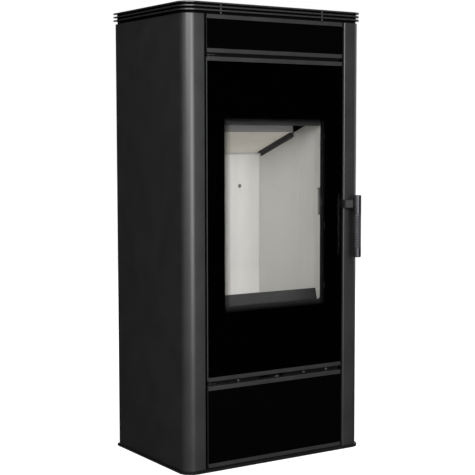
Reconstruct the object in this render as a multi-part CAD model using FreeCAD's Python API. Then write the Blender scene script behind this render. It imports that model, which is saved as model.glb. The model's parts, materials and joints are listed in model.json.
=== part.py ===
import FreeCAD, Part
import math
import os

Vector = FreeCAD.Vector

# Freestanding wood stove: bent steel casing, layered top, full-glass fire door with a side latch,
# storage door below it and a lined firebox behind. Millimetres.
# X runs to the right, Y to the back and Z up. The origin is on the floor, midway between the side
# panels and midway between their front and rear faces.

# Casing
casing_width = 514.0
casing_depth = 342.0
casing_sheet = 2.0
corner_radius = 27.0          # outside radius of the two front corners
front_face_width = 53.5       # a side panel's front face, corner included
return_bend = 3.0             # outside radius where the front face turns in
return_depth = 7.0            # of that edge, in front of the darker gap
rear_flange = 22.0
rear_bend = 2.0
cover_sheet = 1.5

# Base plate and top plates
base_thickness = 7.0
base_chamfer = 1.5
plate_overhang = 5.0          # beyond the casing, at its front and sides
plate_rear_overhang = 2.0
rear_corner_radius = 2.5

# Front, from the base plate upwards
base_gap = 1.5
lower_door_height = 195.8
door_gap = 11.0
fire_door_height = 762.7
panel_gap = 8.5
upper_panel_height = 88.5
side_gap = 7.0                # between a door's edge and the side panel beside it

# Layers of the glazed fronts, from their face backwards
trim_sheet = 1.5
trim_height = 10.0
glass_thickness = 4.0
glass_play = 0.3
enamel_thickness = 0.3
tray_wall = 1.5
tray_plate = 2.5
tray_depth = 18.5             # front face to the back of a door
frame_setback = 24.0          # front face to the front frame
frame_sheet = 3.0
frame_overlap = 8.5           # front frame behind each side panel

# Layered top
deck_thickness = 6.4
deck_inset = 3.5
top_sheet = 3.4               # each of the three top plates
plate_chamfer = 0.6
layer_gap = 5.2
spacer_inset = 3.0
spacer_wall = 3.0
standoff_radius = 2.2
standoff_setback = 2.5        # behind the plates' front edge
standoff_places = (-161.0, 132.0)

# Firebox
firebox_side = 1.0            # side lining outside the window's edge
liner_thickness = 28.0
back_liner_thickness = 25.0
floor_liner_thickness = 23.0
liner_play = 0.5
board_play = 0.3
shell_plate = 4.0
shell_rear_gap = 11.0         # shell to rear cover
shell_rise = 6.7              # shell's floor above the fire door's lower edge
shell_drop = 18.0             # shell's roof below the fire door's upper edge
window_margin = 47.5          # window's edge inside the door's edge
window_sill = 161.1           # window above the fire door's lower edge
window_head = 138.3           # window below the fire door's upper edge
hearth_drop = 31.4            # hearth below the window
hearth_plate_thickness = 4.0
liner_seam = 92.4             # length of the front board of each side lining
air_hole_radius = 5.0
air_hole_spacing = 174.0
air_hole_drop = 176.2         # below the window's top

# Baffle and its rails
baffle_thickness = 25.0
baffle_front_setback = 116.0  # behind the front frame's face
baffle_front_drop = 34.7      # underside below the window's top, at its front edge
baffle_rear_drop = 88.7       # underside below the window's top, at the back lining
baffle_play = 2.0
rail_height = 12.0
rail_width = 12.0
rail_sheet = 3.0
rail_end_gap = 10.0
seat_gap = 0.3                # loose pieces above what carries them

# Openings in the front frame
sill_lip = 9.6                # fire opening's lower edge above the window's
lintel_space = 6.3            # fire opening's upper edge above the window's
opening_radius = 6.0
lower_opening_inset = 16.0    # inside the compartment's walls
lower_opening_margin = 15.5   # above the lower door's edge at the bottom, below it at the top
ash_opening_inset = 24.0      # inside the side linings
ash_lip = 2.5                 # ash opening above the shell's floor
ash_head = 6.0                # ash opening below the hearth plate

# Air-wash lintel and log guard
lintel_drop = 19.2            # lintel's lower edge below the window's top
lintel_lap = 10.0
lintel_depth = 18.0
lintel_sheet = 3.0
guard_height = 68.0
guard_taper_height = 27.0
guard_taper = 6.0
guard_sheet = 3.0
guard_setback = 13.0          # behind the front frame's face

# Grate and ash pan
grate_length = 120.0
grate_width = 150.0
grate_thickness = 18.0
grate_offset = 5.0            # grate's centre behind the casing's centre
grate_ledge = 10.0
grate_slots = 9
grate_slot_width = 7.0
grate_margin = 12.0
pan_side_play = 6.0           # inside the ash opening
pan_rear_gap = 56.0           # room for the air duct
pan_headroom = 18.0           # pan's front under the hearth plate
pan_front_rise = 6.0
pan_sheet = 1.5
pan_grip_width = 60.0
pan_grip_height = 16.0
pan_grip_drop = 20.0

# Hinges
hinge_inset = 8.5             # pin's axis inside the door's edge
hinge_setback = 11.0          # pin's axis behind the front face
pin_radius = 3.0
pin_reach = 13.0              # pin's length inside a door
pin_fit = 0.05
trim_hole_play = 0.3
bracket_thickness = 3.0
bracket_width = 24.0
bracket_front = 7.0           # bracket in front of the pin's axis
washer_radius = 6.0
running_gap = 0.3

# Fire door details
pane_lap = 8.0                # inner pane beyond the door's inner opening
inner_opening_play = 1.0      # inner opening beyond the window
clip_width = 16.0
clip_sheet = 1.5
clip_foot = 9.0
clip_lap = 6.0
clip_places = (0.10, 0.42, 0.90)
rope_width = 8.0
rope_gap = 0.5                # rope to the front frame
rope_inset = 24.5             # rope's centre line inside the door's edge
rope_bottom = 7.0             # rope's centre line above the door's lower edge
rope_top = 22.3               # rope's centre line above the window
rope_corner = 18.0

# Latch: handle, arm, shaft, hook and keeper
latch_height = 410.2          # shaft above the fire door's lower edge
shaft_radius = 3.5
shaft_fit = 0.05
weld_fit = 0.02
hook_thickness = 5.0
hook_inset = 33.0             # hook's middle inside the door's edge
hub_gap = 0.2                 # hook's hub behind the glass
hook_lower = 4.5
hook_upper = 5.0
hook_nose = 3.4
hook_nose_height = 14.0
hook_gap = 0.5                # nose to keeper pin
hook_clearance = 1.5
keeper_pin_radius = 2.8
keeper_pin_setback = 3.1      # keeper pin's axis behind the front frame
keeper_pin_rise = 10.5
keeper_sheet = 3.0
keeper_depth = 12.0
keeper_below = 22.5
keeper_above = 34.5
keeper_play = 5.5             # lining's recess beyond the keeper
notch_depth = 14.5
bearing_width = 10.0
bearing_height = 18.0
bearing_inset = 19.5          # bearing's middle inside the door's edge
arm_thickness = 4.0
arm_height = 19.2
arm_bend_setback = 12.0       # arm's bend in front of the front face
arm_bend = 8.0
handle_radius = 10.0
handle_length = 155.6
handle_above = 22.1           # handle's top above the shaft
handle_reach = 30.0           # handle's axis in front of the front face
handle_offset = 27.0          # handle's axis outside the door's edge
handle_edge = 1.5
knurl_length = 84.0
knurl_below = 110.0           # knurling's lower end below the shaft
knurl_rings = 12
knurl_sides = 16
knurl_depth = 0.6

# Lower door catch
magnet_gap = 0.5
magnet_width = 16.0
magnet_height = 40.0
magnet_inset = 18.5           # catch's middle inside the door's edge
strike_thickness = 1.5

# Lower compartment
stand_sheet = 2.5
stand_inset = 6.5             # inside the shell's sides
stand_bend = 5.0
stand_rear_gap = 20.0         # behind it, to the casing's rear
ceiling_drop = 24.0           # compartment's ceiling below the shell
ceiling_sheet = 2.0
ceiling_play = 0.2

# Air control
slide_end_play = 2.5          # from the guide's end, at the end of the travel
slide_width = 70.0
slide_sheet = 3.0
slide_drop = 0.8              # below the shell's floor
slide_setback = 26.0          # behind the front frame's face
slide_travel = 30.0           # each way
guide_sheet = 2.0
guide_ledge = 6.5
guide_inset = 10.0            # inside the shell's sides
guide_play = 1.5
port_margin = 10.0            # port to the slide's end
port_length = 60.0
port_width = 40.0
lever_width = 10.0
lever_sheet = 2.8
lever_gap = 1.0               # lever above the lower door
lever_foot = 24.0
lever_tip_height = 6.0
lever_tip_setback = 1.0       # behind the front face
lever_slot_play = 2.0

# Flue collar and outside-air spigot
flue_radius = 75.5            # socket for a 150 mm flue pipe
flue_wall = 2.5
flue_stop = 2.5               # width of the stop inside the socket
socket_depth = 60.0
flue_setback = 120.0          # axis in front of the casing's rear
flue_recess = 2.0             # rim below the top
flue_flange = 20.0
flange_thickness = 4.0
flue_hole_play = 5.0
spigot_radius = 40.0          # for an 80 mm air duct
spigot_wall = 2.0
spigot_projection = 30.0      # behind the casing
spigot_shoulder = 4.0         # boss beyond the spigot: the duct's stop, flush with the casing's rear
spigot_hole_play = 2.0
duct_sheet = 2.0
duct_margin = 6.0             # duct beyond the spigot, each side
duct_bend = 4.0
duct_depth = 46.0
duct_port_margin = 6.0        # port in the shell's floor inside the duct

# Rear cover vents and front-frame screws
cover_side_gap = 0.5          # inside the side panels' rear bends
vent_length = 56.0
vent_width = 6.0
vent_pitch_x = 84.0
vent_pitch_z = 18.0
vent_columns = 5
vent_rows = 2
vent_margin = 44.0            # first row from the cover's lower or upper edge
screw_radius = 3.5
screw_height = 2.0
screw_rise = 1.5              # above the lower door
screw_insets = (35.5, 105.5)  # inside the side panels
tolerance = 0.01

# Levels
lower_door_z0 = base_thickness + base_gap
lower_door_z1 = lower_door_z0 + lower_door_height
fire_door_z0 = lower_door_z1 + door_gap
fire_door_z1 = fire_door_z0 + fire_door_height
upper_panel_z0 = fire_door_z1 + panel_gap
casing_z1 = upper_panel_z0 + upper_panel_height
lower_plate_z = casing_z1 + deck_thickness
middle_plate_z = lower_plate_z + top_sheet + layer_gap
upper_plate_z = middle_plate_z + top_sheet + layer_gap
top_z = upper_plate_z + top_sheet
window_z0 = fire_door_z0 + window_sill
window_z1 = fire_door_z1 - window_head
hearth_z = window_z0 - hearth_drop
hearth_plate_z = hearth_z - floor_liner_thickness
hearth_under_z = hearth_plate_z - hearth_plate_thickness
shell_z0 = fire_door_z0 + shell_rise
shell_floor_z = shell_z0 + shell_plate
shell_z1 = fire_door_z1 - shell_drop
latch_z = fire_door_z0 + latch_height
spigot_z = (shell_floor_z + hearth_under_z) / 2

# Depths
front_y = -casing_depth / 2
rear_y = casing_depth / 2
glass_y0 = front_y + trim_sheet
glass_y1 = glass_y0 + glass_thickness
enamel_y1 = glass_y1 + enamel_thickness
tray_y1 = front_y + tray_depth
plate_y0 = tray_y1 - tray_plate
frame_y0 = front_y + frame_setback
frame_y1 = frame_y0 + frame_sheet
cover_y1 = rear_y - casing_sheet
cover_y0 = cover_y1 - cover_sheet
shell_y1 = cover_y0 - shell_rear_gap
back_liner_y1 = shell_y1 - shell_plate - liner_play
back_liner_y0 = back_liner_y1 - back_liner_thickness
liner_y0 = frame_y1 + liner_play
seam_y = liner_y0 + liner_seam
guard_y0 = frame_y0 + guard_setback
baffle_y0 = frame_y0 + baffle_front_setback
hinge_y = front_y + hinge_setback
flue_y = rear_y - flue_setback

# Widths, as distances from the middle
casing_half = casing_width / 2
flue_hole = flue_radius + flue_wall + flue_hole_play
boss_half = spigot_radius + spigot_shoulder
opening_half = casing_half - front_face_width
door_half = opening_half - side_gap
window_half = door_half - window_margin
liner_x0 = window_half + firebox_side
liner_x1 = liner_x0 + liner_thickness
shell_half = liner_x1 + liner_play + shell_plate
stand_half = shell_half - stand_inset
lower_opening_half = stand_half - lower_opening_inset
ash_opening_half = liner_x0 - ash_opening_inset
guide_half = shell_half - guide_inset
slide_half = guide_half - slide_travel - slide_end_play
port_x = slide_half - slide_travel - port_margin - port_length / 2
inner_opening_half = window_half + inner_opening_play
pane_half = inner_opening_half + pane_lap
hinge_x = hinge_inset - door_half
hook_x0 = door_half - hook_inset - hook_thickness / 2
hook_x1 = hook_x0 + hook_thickness
hook_hub = hinge_y - enamel_y1 - hub_gap

# Heights of the fire opening and of the ash opening
fire_opening_z0 = window_z0 + sill_lip
fire_opening_z1 = window_z1 + lintel_space
ash_opening_z0 = shell_floor_z + ash_lip
ash_opening_z1 = hearth_under_z - ash_head

axes = {
    "xy": (Vector(1, 0, 0), Vector(0, 1, 0), Vector(0, 0, 1)),
    "xz": (Vector(1, 0, 0), Vector(0, 0, 1), Vector(0, 1, 0)),
    "yz": (Vector(0, 1, 0), Vector(0, 0, 1), Vector(1, 0, 0)),
}


def place(plane, u, v, level):
    across, along, normal = axes[plane]
    return across * u + along * v + normal * level


def rounded_wire(plane, points, level):
    # Closed outline through (u, v) or (u, v, radius) corners, rounded corners as arcs.
    corners = []
    for i, point in enumerate(points):
        before = points[i - 1]
        after = points[(i + 1) % len(points)]
        corner = Vector(point[0], point[1], 0)
        radius = point[2] if len(point) > 2 else 0
        if radius <= 0:
            corners.append((corner, None, corner))
            continue
        to_before = (Vector(before[0], before[1], 0) - corner).normalize()
        to_after = (Vector(after[0], after[1], 0) - corner).normalize()
        half_angle = to_before.getAngle(to_after) / 2
        cut = radius / math.tan(half_angle)
        inward = (to_before + to_after).normalize()
        middle = corner + inward * (radius / math.sin(half_angle) - radius)
        corners.append((corner + to_before * cut, middle, corner + to_after * cut))
    edges = []
    for i, (start, middle, end) in enumerate(corners):
        following = corners[(i + 1) % len(corners)][0]
        if middle is not None:
            arc = [place(plane, p.x, p.y, level) for p in (start, middle, end)]
            edges.append(Part.Arc(*arc).toShape())
        if (following - end).Length > 1e-6:
            line = [place(plane, p.x, p.y, level) for p in (end, following)]
            edges.append(Part.LineSegment(*line).toShape())
    return Part.Wire(edges)


def prism(plane, points, start, end):
    face = Part.Face(rounded_wire(plane, points, start))
    return face.extrude(axes[plane][2] * (end - start))


def rectangle(u0, u1, v0, v1, radius=0):
    return [(u0, v0, radius), (u1, v0, radius), (u1, v1, radius), (u0, v1, radius)]


def hexagon(u, v, radius):
    turns = [i * math.pi / 3 for i in range(6)]
    return [(u + radius * math.cos(a), v + radius * math.sin(a)) for a in turns]


def box(x0, x1, y0, y1, z0, z1):
    return Part.makeBox(x1 - x0, y1 - y0, z1 - z0, Vector(x0, y0, z0))


def rod(plane, u, v, radius, start, end):
    return Part.makeCylinder(radius, end - start, place(plane, u, v, start), axes[plane][2])


def turned(section, x, y):
    face = Part.Face(rounded_wire("xz", section, 0))
    shape = face.revolve(Vector(0, 0, 0), Vector(0, 0, 1), 360)
    shape.translate(Vector(x, y, 0))
    return shape


def bent_sheet(plane, path, gauge, start, end):
    # Sheet bent along an open path of its outer face; the gauge lies to the left of the path.
    # A corner may carry the bend's radius on that outer face.
    corners = [Vector(p[0], p[1], 0) for p in path]
    runs = [(b - a).normalize() for a, b in zip(corners, corners[1:])]
    inner = []
    for i, corner in enumerate(corners):
        first = runs[max(i - 1, 0)]
        second = runs[min(i, len(runs) - 1)]
        first_normal = Vector(-first.y, first.x, 0)
        second_normal = Vector(-second.y, second.x, 0)
        shift = (first_normal + second_normal) * (gauge / (1 + first_normal.dot(second_normal)))
        radius = path[i][2] if len(path[i]) > 2 else 0
        turn = first.x * second.y - first.y * second.x
        inner_radius = radius - gauge if turn > 0 else radius + gauge
        moved = corner + shift
        inner.append((moved.x, moved.y, max(inner_radius, 0) if radius > 0 else 0))
    return prism(plane, list(path) + inner[::-1], start, end)


def mirrored(shape):
    return shape.mirror(Vector(0, 0, 0), Vector(1, 0, 0))


def cut_all(shape, tools):
    for tool in tools:
        shape = shape.cut(tool)
    return shape


def casing_outline(offset, rear_offset):
    # Plan of the casing, moved out by offset at the front and sides.
    x = casing_half + offset
    return [
        (-x, front_y - offset, corner_radius + offset),
        (x, front_y - offset, corner_radius + offset),
        (x, rear_y + rear_offset, rear_corner_radius),
        (-x, rear_y + rear_offset, rear_corner_radius),
    ]


def base_plate():
    plate = prism("xy", casing_outline(plate_overhang, plate_rear_overhang), 0, base_thickness)
    upper = [e for e in plate.Edges if e.BoundBox.ZMin > base_thickness - tolerance]
    plate = plate.makeChamfer(base_chamfer, upper)
    return plate.cut(rod("xy", hinge_x, hinge_y, pin_radius + weld_fit, 0, base_thickness))


def side_panel():
    path = [
        (opening_half, front_y + return_depth),
        (opening_half, front_y, return_bend),
        (casing_half, front_y, corner_radius),
        (casing_half, rear_y, rear_bend),
        (casing_half - rear_flange, rear_y),
    ]
    return bent_sheet("xy", path, casing_sheet, base_thickness, casing_z1)


def rear_cover():
    half = casing_half - rear_bend - cover_side_gap
    cover = prism("xz", rectangle(-half, half, base_thickness, casing_z1), cover_y0, cover_y1)
    tools = [spigot_cutout(boss_half + spigot_hole_play, cover_y0, cover_y1)]
    lower = base_thickness + vent_margin
    upper = casing_z1 - vent_margin - vent_pitch_z * (vent_rows - 1)
    for first in (lower, upper):
        for row in range(vent_rows):
            z = first + row * vent_pitch_z
            for column in range(vent_columns):
                x = (column - (vent_columns - 1) / 2) * vent_pitch_x
                vent = rectangle(x - vent_length / 2, x + vent_length / 2,
                                 z - vent_width / 2, z + vent_width / 2)
                tools.append(prism("xz", vent, cover_y0, cover_y1))
    return cover.cut(Part.makeCompound(tools))


def front_frame():
    half = opening_half + frame_overlap
    frame = prism("xz", rectangle(-half, half, base_thickness, casing_z1), frame_y0, frame_y1)
    low = lower_door_z0 + lower_opening_margin
    high = lower_door_z1 - lower_opening_margin
    lever_half = slide_travel + lever_width / 2 + lever_slot_play
    lever_z0 = lower_door_z1 + lever_gap - lever_slot_play / 2
    lever_z1 = lower_door_z1 + lever_gap + lever_sheet + lever_slot_play / 2
    hook_slot_z0 = latch_z - keeper_below
    hook_slot_z1 = latch_z + hook_nose_height + hook_upper + hook_clearance
    openings = [
        rectangle(-liner_x0, liner_x0, fire_opening_z0, fire_opening_z1, opening_radius),
        rectangle(liner_x0 - opening_radius, hook_x1 + hook_clearance, hook_slot_z0, hook_slot_z1),
        rectangle(-ash_opening_half, ash_opening_half, ash_opening_z0, ash_opening_z1),
        rectangle(-lower_opening_half, lower_opening_half, low, high),
        rectangle(-lever_half, lever_half, lever_z0, lever_z1),
    ]
    return cut_all(frame, [prism("xz", o, frame_y0, frame_y1) for o in openings])


def frame_screws():
    z = lower_door_z1 + screw_rise
    heads = []
    for inset in screw_insets:
        plan = hexagon(opening_half - inset, z, screw_radius)
        head = prism("xz", plan, frame_y0 - screw_height, frame_y0)
        heads += [head, mirrored(head)]
    return Part.makeCompound(heads)


def flue_cutout(half, z0, z1):
    return box(-half, half, flue_y - half, flue_y + half, z0, z1)


def top_deck():
    deck = prism("xy", casing_outline(-deck_inset, -deck_inset), casing_z1, lower_plate_z)
    return deck.cut(flue_cutout(flue_hole, casing_z1, lower_plate_z))


def top_plate(z0):
    return prism("xy", casing_outline(plate_overhang, plate_rear_overhang), z0, z0 + top_sheet)


def covered_top_plate(z0):
    # The cut-out is square, because the upper plate covers it.
    return top_plate(z0).cut(flue_cutout(flue_hole, z0, z0 + top_sheet))


def top_plate_upper():
    plate = top_plate(upper_plate_z)
    rim = [e for e in plate.Edges if e.BoundBox.ZMin > top_z - tolerance]
    plate = plate.makeChamfer(plate_chamfer, rim)
    return plate.cut(rod("xy", 0, flue_y, flue_hole, upper_plate_z, top_z))


def top_spacer(z0):
    outer = prism("xy", casing_outline(-spacer_inset, -spacer_inset), z0, z0 + layer_gap)
    inset = spacer_inset + spacer_wall
    return outer.cut(prism("xy", casing_outline(-inset, -inset), z0, z0 + layer_gap))


def top_standoffs():
    y = front_y - plate_overhang + standoff_setback
    spans = [
        (lower_plate_z - deck_thickness, lower_plate_z),
        (lower_plate_z + top_sheet, middle_plate_z),
        (middle_plate_z + top_sheet, upper_plate_z),
    ]
    return Part.makeCompound([prism("xy", hexagon(x, y, standoff_radius), z0, z1)
                              for x in standoff_places for z0, z1 in spans])


def compartment_box():
    back = rear_y - stand_rear_gap
    path = [
        (stand_half, frame_y1),
        (stand_half, back, stand_bend),
        (-stand_half, back, stand_bend),
        (-stand_half, frame_y1),
    ]
    return bent_sheet("xy", path, stand_sheet, base_thickness, shell_z0)


def compartment_ceiling():
    half = stand_half - stand_sheet - ceiling_play
    back = rear_y - stand_rear_gap - stand_sheet - ceiling_play
    z1 = shell_z0 - ceiling_drop
    corner = stand_bend - stand_sheet
    plan = [(-half, frame_y1), (half, frame_y1), (half, back, corner), (-half, back, corner)]
    return prism("xy", plan, z1 - ceiling_sheet, z1)


def firebox_shell():
    shell = box(-shell_half, shell_half, frame_y1, shell_y1, shell_z0, shell_z1)
    inner_half = shell_half - shell_plate
    inner_y1 = shell_y1 - shell_plate
    inside = box(-inner_half, inner_half, frame_y1, inner_y1, shell_floor_z, shell_z1 - shell_plate)
    tools = [
        inside,
        flue_cutout(flue_radius - flue_stop, shell_z1 - shell_plate, shell_z1),
        spigot_cutout(spigot_radius - spigot_wall, inner_y1, shell_y1),
        duct_port(),
    ]
    for side in (-1, 1):
        x = side * air_hole_spacing / 2
        tools.append(rod("xz", x, window_z1 - air_hole_drop, air_hole_radius, inner_y1, shell_y1))
        tools.append(air_port(side * port_x, shell_z0, shell_floor_z))
    return cut_all(shell, tools)


def air_port(x, z0, z1):
    y = frame_y0 + slide_setback + slide_width / 2
    plan = rectangle(x - port_length / 2, x + port_length / 2, y - port_width / 2, y + port_width / 2)
    return prism("xy", plan, z0, z1)


def duct_plan():
    # Half width and front face of the air duct behind the ash pan.
    return spigot_radius + duct_margin, shell_y1 - shell_plate - duct_depth


def duct_port():
    half, y0 = duct_plan()
    margin = duct_sheet + duct_port_margin
    plan = rectangle(margin - half, half - margin, y0 + margin, shell_y1 - shell_plate - duct_port_margin)
    return prism("xy", plan, shell_z0, shell_floor_z)


def air_duct():
    # Bent sheet from the spigot's mouth down to the port in the shell's floor.
    half, y0 = duct_plan()
    rear = shell_y1 - shell_plate
    path = [(-half, rear), (-half, y0, duct_bend), (half, y0, duct_bend), (half, rear)]
    return bent_sheet("xy", path, duct_sheet, shell_floor_z, hearth_under_z)


def hearth_plate():
    half = shell_half - shell_plate
    plate = box(-half, half, frame_y1, shell_y1 - shell_plate, hearth_under_z, hearth_plate_z)
    return plate.cut(grate_opening(-grate_ledge, hearth_under_z, hearth_plate_z))


def grate_opening(margin, z0, z1):
    x = grate_width / 2 + margin
    y = grate_length / 2 + margin
    return box(-x, x, grate_offset - y, grate_offset + y, z0, z1)


def liner_floor():
    half = liner_x0 - liner_play
    floor = box(-half, half, liner_y0, back_liner_y0 - board_play, hearth_plate_z, hearth_z)
    return floor.cut(grate_opening(board_play, hearth_plate_z, hearth_z))


def grate():
    bed = box(-grate_width / 2, grate_width / 2, grate_offset - grate_length / 2,
              grate_offset + grate_length / 2, hearth_plate_z, hearth_plate_z + grate_thickness)
    half_slot = grate_length / 2 - grate_margin
    pitch = (grate_width - 2 * grate_margin) / grate_slots
    slots = []
    for i in range(grate_slots):
        x = (i - (grate_slots - 1) / 2) * pitch
        plan = rectangle(x - grate_slot_width / 2, x + grate_slot_width / 2,
                         grate_offset - half_slot, grate_offset + half_slot)
        slots.append(prism("xy", plan, hearth_plate_z, hearth_plate_z + grate_thickness))
    return bed.cut(Part.makeCompound(slots))


def liner_back():
    half = liner_x1
    board = box(-half, half, back_liner_y0, back_liner_y1, hearth_plate_z, baffle_line(back_liner_y0))
    holes = [rod("xz", side * air_hole_spacing / 2, window_z1 - air_hole_drop, air_hole_radius,
                 back_liner_y0, back_liner_y1) for side in (-1, 1)]
    return cut_all(board, holes)


def baffle_line(y):
    # Height of the baffle's underside, which the side linings' upper edges follow.
    rear_z = window_z1 - baffle_rear_drop
    front_z = window_z1 - baffle_front_drop
    return rear_z + (front_z - rear_z) * (back_liner_y0 - y) / (back_liner_y0 - baffle_y0)


def side_board(y0, y1):
    edge = [
        (y0, hearth_plate_z),
        (y1, hearth_plate_z),
        (y1, baffle_line(y1)),
        (y0, baffle_line(y0)),
    ]
    return prism("yz", edge, liner_x0, liner_x1)


def front_board():
    return side_board(liner_y0, seam_y)


def rear_board():
    return side_board(seam_y + board_play, back_liner_y0 - board_play)


def liner_right_front():
    recess = rectangle(liner_y0, frame_y1 + notch_depth,
                       latch_z - keeper_below - keeper_play, latch_z + keeper_above + keeper_play)
    return front_board().cut(prism("yz", recess, liner_x0, liner_x1))


def baffle_board():
    half = liner_x0 - baffle_play
    y1 = back_liner_y0 - board_play
    rise = baffle_thickness
    edge = [
        (baffle_y0, baffle_line(baffle_y0)),
        (y1, baffle_line(y1)),
        (y1, baffle_line(y1) + rise),
        (baffle_y0, baffle_line(baffle_y0) + rise),
    ]
    return prism("yz", edge, -half, half)


def baffle_rail():
    # Angle on the right lining: a leg against the board and a ledge under the baffle.
    y0 = baffle_y0
    y1 = back_liner_y0 - rail_end_gap

    def strip(height, x0):
        top0 = baffle_line(y0) - seat_gap
        top1 = baffle_line(y1) - seat_gap
        edge = [(y0, top0 - height), (y1, top1 - height), (y1, top1), (y0, top0)]
        return prism("yz", edge, x0, liner_x0)

    return strip(rail_height, liner_x0 - rail_sheet).fuse(strip(rail_sheet, liner_x0 - rail_width))


def baffle_rails():
    rail = baffle_rail().removeSplitter()
    return Part.makeCompound([rail, mirrored(rail)])


def airwash_lintel():
    half = liner_x0 - liner_play
    z0 = window_z1 - lintel_drop
    path = [
        (frame_y1, fire_opening_z1 + lintel_lap),
        (frame_y1, z0, lintel_sheet),
        (frame_y1 + lintel_depth, z0),
    ]
    return bent_sheet("yz", path, lintel_sheet, -half, half)


def log_guard():
    half = liner_x0 - liner_play
    shoulder = hearth_z + guard_height - guard_taper_height
    top = hearth_z + guard_height
    face = [
        (-half, hearth_z),
        (half, hearth_z),
        (half, shoulder),
        (half - guard_taper, top),
        (guard_taper - half, top),
        (-half, shoulder),
    ]
    return prism("xz", face, guard_y0, guard_y0 + guard_sheet)


def ash_pan():
    half = ash_opening_half - pan_side_play
    y0 = frame_y1 + liner_play
    y1 = shell_y1 - shell_plate - pan_rear_gap
    z0 = shell_floor_z
    z1 = hearth_under_z - pan_headroom - pan_front_rise
    pan = box(-half, half, y0, y1, z0, z1)
    inner_half = half - pan_sheet
    pan = pan.cut(box(-inner_half, inner_half, y0 + pan_sheet, y1 - pan_sheet, z0 + pan_sheet, z1))
    pan = pan.fuse(box(-half, half, y0, y0 + pan_sheet, z1, z1 + pan_front_rise)).removeSplitter()
    z = z1 - pan_grip_drop
    grip = rectangle(-pan_grip_width / 2, pan_grip_width / 2,
                     z - pan_grip_height / 2, z + pan_grip_height / 2, pan_grip_height / 2)
    return pan.cut(prism("xz", grip, y0, y0 + pan_sheet))


def flue_collar():
    # Socket with a stop inside, on a square flange that covers the hole in the shell's roof.
    stop_radius = flue_radius - flue_stop
    outside = flue_radius + flue_wall
    rim_z = top_z - flue_recess
    flange_z1 = shell_z1 + flange_thickness
    section = [
        (stop_radius, shell_z1),
        (outside, shell_z1),
        (outside, rim_z),
        (flue_radius, rim_z),
        (flue_radius, rim_z - socket_depth),
        (stop_radius, rim_z - socket_depth),
    ]
    half = outside + flue_flange
    flange = box(-half, half, flue_y - half, flue_y + half, shell_z1, flange_z1)
    flange = flange.cut(rod("xy", 0, flue_y, stop_radius, shell_z1, flange_z1))
    return turned(section, 0, flue_y).fuse(flange).removeSplitter()


def spigot_cutout(half, y0, y1):
    return box(-half, half, y0, y1, spigot_z - half, spigot_z + half)


def air_inlet_spigot():
    # Round spigot on a square boss that closes the shell's cut-out.
    end_y = rear_y + spigot_projection
    boss = spigot_cutout(boss_half, shell_y1, rear_y)
    tube = rod("xz", 0, spigot_z, spigot_radius, rear_y, end_y)
    bore = rod("xz", 0, spigot_z, spigot_radius - spigot_wall, shell_y1, end_y)
    return boss.fuse(tube).cut(bore)


def latch_keeper():
    x0 = hook_x1 + hook_clearance + keeper_sheet
    pin_y = frame_y1 + keeper_pin_setback
    plate = box(x0, x0 + keeper_sheet, frame_y1, frame_y1 + keeper_depth,
                latch_z - keeper_below, latch_z + keeper_above)
    pin = rod("yz", pin_y, latch_z + keeper_pin_rise, keeper_pin_radius, hook_x0 - hook_clearance, x0)
    return plate.fuse(pin).removeSplitter()


def hinge_levels():
    # Middle of the bracket in each gap that holds one: between the doors and above the fire door.
    return (lower_door_z1 + door_gap / 2, fire_door_z1 + panel_gap / 2)


def hinge_brackets():
    plates = []
    for z in hinge_levels():
        half = bracket_thickness / 2
        x0 = -door_half
        plate = box(x0, x0 + bracket_width, hinge_y - bracket_front, frame_y0, z - half, z + half)
        plates.append(plate.cut(rod("xy", hinge_x, hinge_y, pin_radius + weld_fit, z - half, z + half)))
    return Part.makeCompound(plates)


def hinge_pins():
    upper = hinge_levels()[1]
    spans = [
        (0, lower_door_z0 + pin_reach),
        (lower_door_z1 - pin_reach, fire_door_z0 + pin_reach),
        (fire_door_z1 - pin_reach, upper + bracket_thickness / 2),
    ]
    return Part.makeCompound([rod("xy", hinge_x, hinge_y, pin_radius, z0, z1) for z0, z1 in spans])


def hinge_washers():
    # One under each door, which rests on it.
    middle = hinge_levels()[0]
    spans = [
        (base_thickness, lower_door_z0 - running_gap),
        (middle + bracket_thickness / 2, fire_door_z0 - running_gap),
    ]
    washers = []
    for z0, z1 in spans:
        washer = prism("xy", hexagon(hinge_x, hinge_y, washer_radius), z0, z1)
        washers.append(washer.cut(rod("xy", hinge_x, hinge_y, pin_radius + weld_fit, z0, z1)))
    return Part.makeCompound(washers)


def front_tray(z0, z1, rear):
    # Folded tray behind the glass, open towards it.
    low = z0 + trim_sheet
    high = z1 - trim_sheet
    inner = door_half - tray_wall
    tray = box(-door_half, door_half, enamel_y1, rear, low, high)
    return tray.cut(box(-inner, inner, enamel_y1, rear - tray_plate, low + tray_wall, high - tray_wall))


def front_glass(z0, z1):
    low = z0 + trim_sheet + glass_play
    high = z1 - trim_sheet - glass_play
    return box(-door_half, door_half, glass_y0, glass_y1, low, high)


def front_trim(z0, z1, rear, at_top):
    # Angle over the glass: a lip in front of it and a flange across the edge of the tray.
    if at_top:
        path = [(rear, z1), (front_y, z1, trim_sheet), (front_y, z1 - trim_height)]
    else:
        path = [(front_y, z0 + trim_height), (front_y, z0, trim_sheet), (rear, z0)]
    return bent_sheet("yz", path, trim_sheet, -door_half, door_half)


def pin_holes(shape, z0, z1, play):
    return shape.cut(rod("xy", hinge_x, hinge_y, pin_radius + play, z0, z1))


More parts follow.
